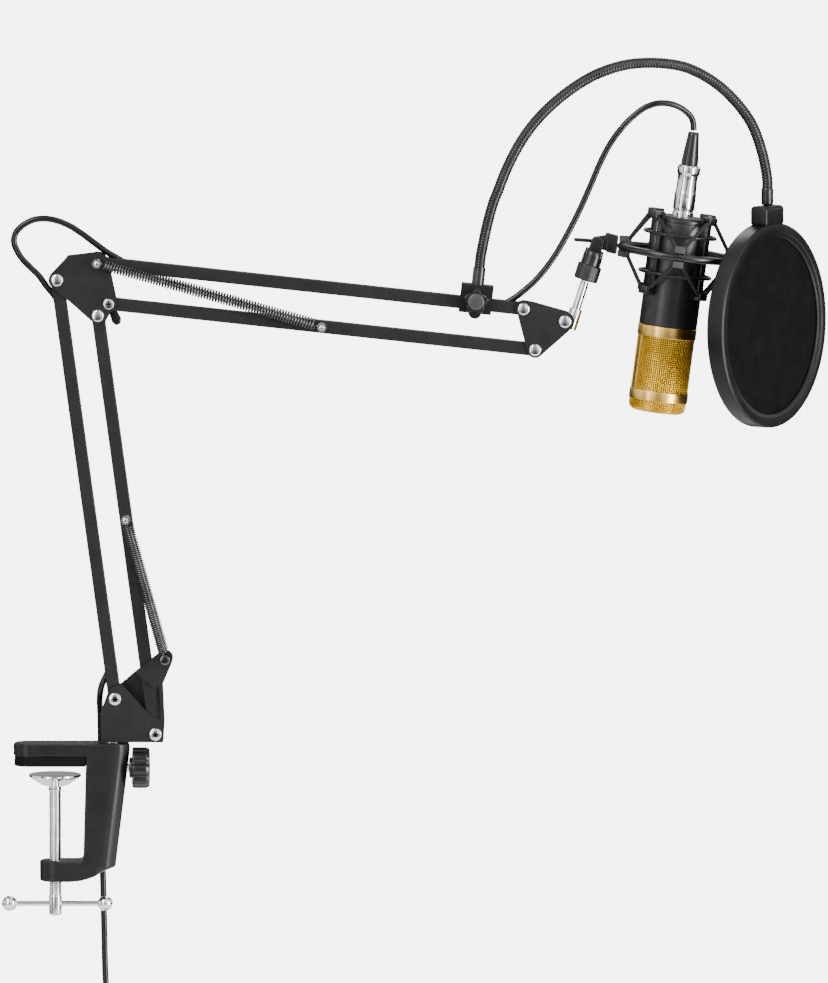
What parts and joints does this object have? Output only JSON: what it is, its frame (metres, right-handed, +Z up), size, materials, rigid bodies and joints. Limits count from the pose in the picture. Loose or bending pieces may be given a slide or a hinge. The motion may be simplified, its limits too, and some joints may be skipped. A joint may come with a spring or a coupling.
{
  "type": "desktop microphone stand",
  "caption": "Spring-balanced scissor arm on a desk clamp, carrying a shock-mounted microphone and a pop filter on a gooseneck.",
  "frame": {"origin": "underside of the upper jaw pad, on the clamp screw's axis, where the clamp meets the top of the desk", "axes": "+Z up, square to the desk; +X the way the boom points; the arm works in the XZ plane"},
  "size_m": [0.6436, 0.1406, 0.8644],
  "materials": {
    "cast_grey": "satin powder-coated casting",
    "arm_black": "satin powder coat over steel tube and sheet",
    "bright_steel": "bright plated steel",
    "screw_steel": "zinc-plated steel with a rolled thread",
    "bronze": "sintered bronze",
    "spring_steel": "dark drawn spring wire",
    "knob_black": "black moulded plastic",
    "pad_rubber": "ribbed black rubber",
    "mount_black": "fine-textured black moulding",
    "clip_grey": "grey moulded clip",
    "elastic": "braided elastic cord",
    "mic_black": "satin black enamel",
    "gold": "polished gold plate",
    "gold_mesh": "woven gold-toned wire mesh",
    "capsule": "gold-sputtered capsule and green board",
    "nickel": "satin nickel",
    "boot_rubber": "moulded strain relief",
    "neck_black": "black coiled flexible metal hose",
    "filter_black": "fine-textured black moulding",
    "filter_cloth": "fine black nylon mesh",
    "cable_black": "glossy black cable jacket"
  },
  "bodies": {
    "clamp": {"clamp_frame": "cast_grey", "jaw_pad": "pad_rubber", "swivel_bush": "bronze", "cable_lower": "cable_black", "cable_coil": "cable_black", "cable_tie": "elastic", "cable_plug": "nickel", "cable_plug_boot": "boot_rubber"},
    "pressure_disc": {"pressure_disc": "bright_steel"},
    "clamp_screw": {"clamp_screw": "screw_steel"},
    "tommy_bar": {"tommy_bar": "bright_steel"},
    "lock_knob": {"lock_knob": "knob_black", "lock_stud": "screw_steel"},
    "swivel_base": {"base_bracket": "arm_black", "swivel_post": "screw_steel", "base_bolts": "bright_steel", "base_spring_screws": "spring_steel"},
    "lower_rear": {"lower_rear_bar": "arm_black", "cable_middle": "cable_black"},
    "lower_front": {"lower_front_bar": "arm_black", "lower_spring_bolt": "bright_steel", "lower_springs": "spring_steel"},
    "elbow": {"elbow_plate_front": "arm_black", "elbow_plate_rear": "arm_black", "elbow_bolts": "bright_steel", "elbow_spring_bolt": "bright_steel"},
    "elbow_nut": {"elbow_wing_nut": "knob_black"},
    "boom_top": {"boom_top_bar": "arm_black", "cable_upper": "cable_black"},
    "boom_bottom": {"boom_bottom_bar": "arm_black", "boom_spring_bolt": "bright_steel", "boom_springs": "spring_steel"},
    "boom_tip": {"tip_plate_front": "arm_black", "tip_plate_rear": "arm_black", "tip_bolts": "bright_steel", "yoke_bolt": "bright_steel"},
    "yoke": {"mic_yoke": "bright_steel", "mount_stud": "bright_steel"},
    "socket": {"mount_socket": "mount_black", "knuckle_bolt": "mount_black"},
    "tilt_lever": {"tilt_lever": "mount_black"},
    "shock_ring": {"shock_ring": "mount_black", "ring_clips": "clip_grey"},
    "cradle": {"cage_jaws": "mount_black", "cage_rings": "mount_black", "elastic_cords": "elastic", "mic_body": "mic_black", "mic_bands": "gold", "mic_grille": "gold_mesh", "mic_end_mesh": "gold_mesh", "mic_capsule": "capsule", "mic_plug_shell": "nickel", "mic_plug_boot": "boot_rubber"},
    "pop_clamp": {"pop_clamp": "knob_black"},
    "pop_knob": {"pop_knob": "knob_black"},
    "gooseneck": {"gooseneck_lower": "neck_black", "gooseneck_upper": "neck_black"},
    "neck_end": {"gooseneck_end": "neck_black"},
    "pop_filter": {"filter_ring": "filter_black", "filter_meshes": "filter_cloth"}
  },
  "joints": [
    {"name": "screw_feed", "type": "slide", "parent": "clamp", "child": "pressure_disc", "axis": [0, 0, 1], "range_m": [-0.0495, 0.006]},
    {"name": "screw_turn", "type": "hinge", "parent": "pressure_disc", "child": "clamp_screw", "pos_m": [0, 0, -0.06], "axis": [0, 0, 1], "range_deg": [-11880, 1440]},
    {"name": "tommy_slide", "type": "slide", "parent": "clamp_screw", "child": "tommy_bar", "axis": [1, 0, 0], "range_m": [-0.0275, 0.0245]},
    {"name": "lock_knob_turn", "type": "hinge", "parent": "clamp", "child": "lock_knob", "pos_m": [0.06, 0, -0.002], "axis": [1, 0, 0], "range_deg": [-720, 45]},
    {"name": "base_swivel", "type": "hinge", "parent": "clamp", "child": "swivel_base", "pos_m": [0.044, 0, 0], "axis": [0, 0, 1], "range_deg": [-170, 170], "deforming": ["cable_lower"]},
    {"name": "lower_tilt", "type": "hinge", "parent": "swivel_base", "child": "lower_rear", "pos_m": [0.047, 0, 0.0525], "axis": [0, 1, 0], "range_deg": [-20, 62]},
    {"name": "lower_follow", "type": "hinge", "parent": "swivel_base", "child": "lower_front", "pos_m": [0.0785, 0, 0.0248], "axis": [0, 1, 0], "range_deg": [-20, 62], "deforming": ["lower_springs"]},
    {"name": "elbow_level", "type": "hinge", "parent": "lower_rear", "child": "elbow", "pos_m": [0.0031, 0, 0.3792], "axis": [0, 1, 0], "range_deg": [-62, 20], "deforming": ["cable_middle"]},
    {"name": "elbow_nut_turn", "type": "hinge", "parent": "elbow", "child": "elbow_nut", "pos_m": [0.043, 0, 0.3607], "axis": [0, 1, 0], "range_deg": [-270, 10]},
    {"name": "boom_tilt", "type": "hinge", "parent": "elbow", "child": "boom_top", "pos_m": [0.034, 0, 0.3925], "axis": [0, -1, 0], "range_deg": [-38, 45]},
    {"name": "boom_follow", "type": "hinge", "parent": "elbow", "child": "boom_bottom", "pos_m": [0.043, 0, 0.3607], "axis": [0, -1, 0], "range_deg": [-38, 45], "deforming": ["boom_springs"]},
    {"name": "tip_level", "type": "hinge", "parent": "boom_top", "child": "boom_tip", "pos_m": [0.3646, 0, 0.3567], "axis": [0, -1, 0], "range_deg": [-45, 38], "deforming": ["cable_upper"]},
    {"name": "yoke_tilt", "type": "hinge", "parent": "boom_tip", "child": "yoke", "pos_m": [0.3968, 0, 0.347], "axis": [0, -1, 0], "range_deg": [-3, 18]},
    {"name": "mount_swivel", "type": "hinge", "parent": "yoke", "child": "socket", "pos_m": [0.4027, 0, 0.3477], "axis": [0.3014, 0, 0.9535], "range_deg": [-8, 100]},
    {"name": "mount_tilt", "type": "hinge", "parent": "socket", "child": "shock_ring", "pos_m": [0.42172, 0, 0.40787], "axis": [0, -1, 0], "range_deg": [-10, 15]},
    {"name": "tilt_lever_turn", "type": "hinge", "parent": "socket", "child": "tilt_lever", "pos_m": [0.42172, 0, 0.40787], "axis": [0, 1, 0], "range_deg": [-45, 20]},
    {"name": "cradle_float", "type": "slide", "parent": "shock_ring", "child": "cradle", "axis": [0.1305, 0, 0.9914], "range_m": [-0.003, 0.003], "stiffness_N_per_m": 4000, "springref_m": 0.0009, "deforming": ["elastic_cords"]},
    {"name": "pop_clamp_slide", "type": "slide", "parent": "boom_top", "child": "pop_clamp", "axis": [-0.9942, 0, 0.1077], "range_m": [-0.008, 0.003]},
    {"name": "pop_knob_turn", "type": "hinge", "parent": "pop_clamp", "child": "pop_knob", "pos_m": [0.32777, 0, 0.3632], "axis": [0, 1, 0], "range_deg": [-360, 30]},
    {"name": "gooseneck_root", "type": "hinge", "parent": "pop_clamp", "child": "gooseneck", "pos_m": [0.3292, 0, 0.376], "axis": [0, -1, 0], "range_deg": [-45, 38], "deforming": ["gooseneck_lower"]},
    {"name": "gooseneck_bend", "type": "hinge", "parent": "gooseneck", "child": "neck_end", "pos_m": [0.469, 0, 0.5472], "axis": [0, -1, 0], "range_deg": [0, 25], "deforming": ["gooseneck_upper"]},
    {"name": "filter_swivel", "type": "hinge", "parent": "neck_end", "child": "pop_filter", "pos_m": [0.5535, 0, 0.437], "axis": [0, 0, 1], "range_deg": [-2, 62]}
  ],
  "couplings": [
    {"joint": "screw_feed", "follows": "screw_turn", "m_per_rad": 0.00023873},
    {"joint": "lower_follow", "follows": "lower_tilt", "ratio": 1},
    {"joint": "elbow_level", "follows": "lower_tilt", "ratio": -1},
    {"joint": "boom_follow", "follows": "boom_tilt", "ratio": 1},
    {"joint": "tip_level", "follows": "boom_tilt", "ratio": -1},
    {"joint": "gooseneck_root", "follows": "boom_tilt", "ratio": -1}
  ]
}
